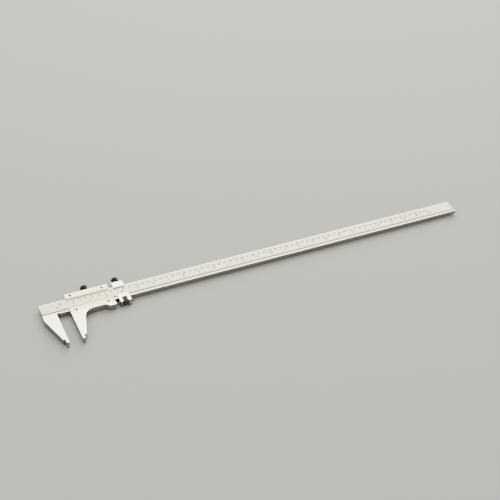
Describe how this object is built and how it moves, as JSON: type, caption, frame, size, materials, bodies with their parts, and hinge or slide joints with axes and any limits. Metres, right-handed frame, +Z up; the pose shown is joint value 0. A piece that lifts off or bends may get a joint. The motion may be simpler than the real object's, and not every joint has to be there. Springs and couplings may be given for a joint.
{
  "type": "vernier caliper",
  "caption": "Long vernier caliper: graduated beam with a fixed nib jaw, sliding jaw with two vernier plates, clamp screws and a fine-adjustment carriage.",
  "frame": {"origin": "on the surface that the caliper lies on, under the middle of its box with the jaws 20.5 mm open", "axes": "+X along the beam from the jaws to the plain end, +Y across the beam away from the jaws, +Z up out of the graduated face"},
  "size_m": [0.7336, 0.1094, 0.0122],
  "materials": {
    "satin_steel": "ground stainless steel with satin chrome",
    "plate_steel": "satin",
    "black_steel": "black oxide, knurled",
    "screw_steel": "turned",
    "gib_bronze": "rolled strip"
  },
  "bodies": {
    "beam": {"main_beam": "satin_steel", "beam_stop_screw": "screw_steel"},
    "slider": {"slider_body": "satin_steel", "upper_vernier_plate": "plate_steel", "lower_vernier_plate": "plate_steel", "upper_vernier_plate_screw_left": "screw_steel", "upper_vernier_plate_screw_right": "screw_steel", "lower_vernier_plate_screw_left": "screw_steel", "lower_vernier_plate_screw_right": "screw_steel", "slider_gib": "gib_bronze", "slider_gib_screw_left": "screw_steel", "slider_gib_screw_right": "screw_steel", "fine_adjust_screw": "screw_steel", "fine_screw_lock": "screw_steel"},
    "slider_clamp": {"slider_clamp_screw": "black_steel"},
    "carriage": {"carriage_body": "satin_steel", "carriage_gib": "gib_bronze"},
    "carriage_clamp": {"carriage_clamp_screw": "black_steel"},
    "fine_nut": {"fine_adjust_nut": "black_steel"}
  },
  "joints": [
    {"name": "jaw_slide", "type": "slide", "parent": "beam", "child": "slider", "axis": [1, 0, 0], "range_m": [-0.02045, 0.5795]},
    {"name": "carriage_slide", "type": "slide", "parent": "slider", "child": "carriage", "axis": [1, 0, 0], "range_m": [-0.004, 0.003]},
    {"name": "nut_turn", "type": "hinge", "parent": "carriage", "child": "fine_nut", "pos_m": [-0.24085, 0.00255, 0.0065], "axis": [1, 0, 0], "range_deg": [-2880, 2160]},
    {"name": "slider_clamp_turn", "type": "hinge", "parent": "slider", "child": "slider_clamp", "pos_m": [-0.29025, 0.04375, 0.0065], "axis": [0, 1, 0], "range_deg": [-216, 360]},
    {"name": "carriage_clamp_turn", "type": "hinge", "parent": "carriage", "child": "carriage_clamp", "pos_m": [-0.24065, 0.04375, 0.0065], "axis": [0, 1, 0], "range_deg": [-216, 360]}
  ],
  "couplings": [
    {"joint": "nut_turn", "follows": "carriage_slide", "rad_per_m": 12566}
  ]
}
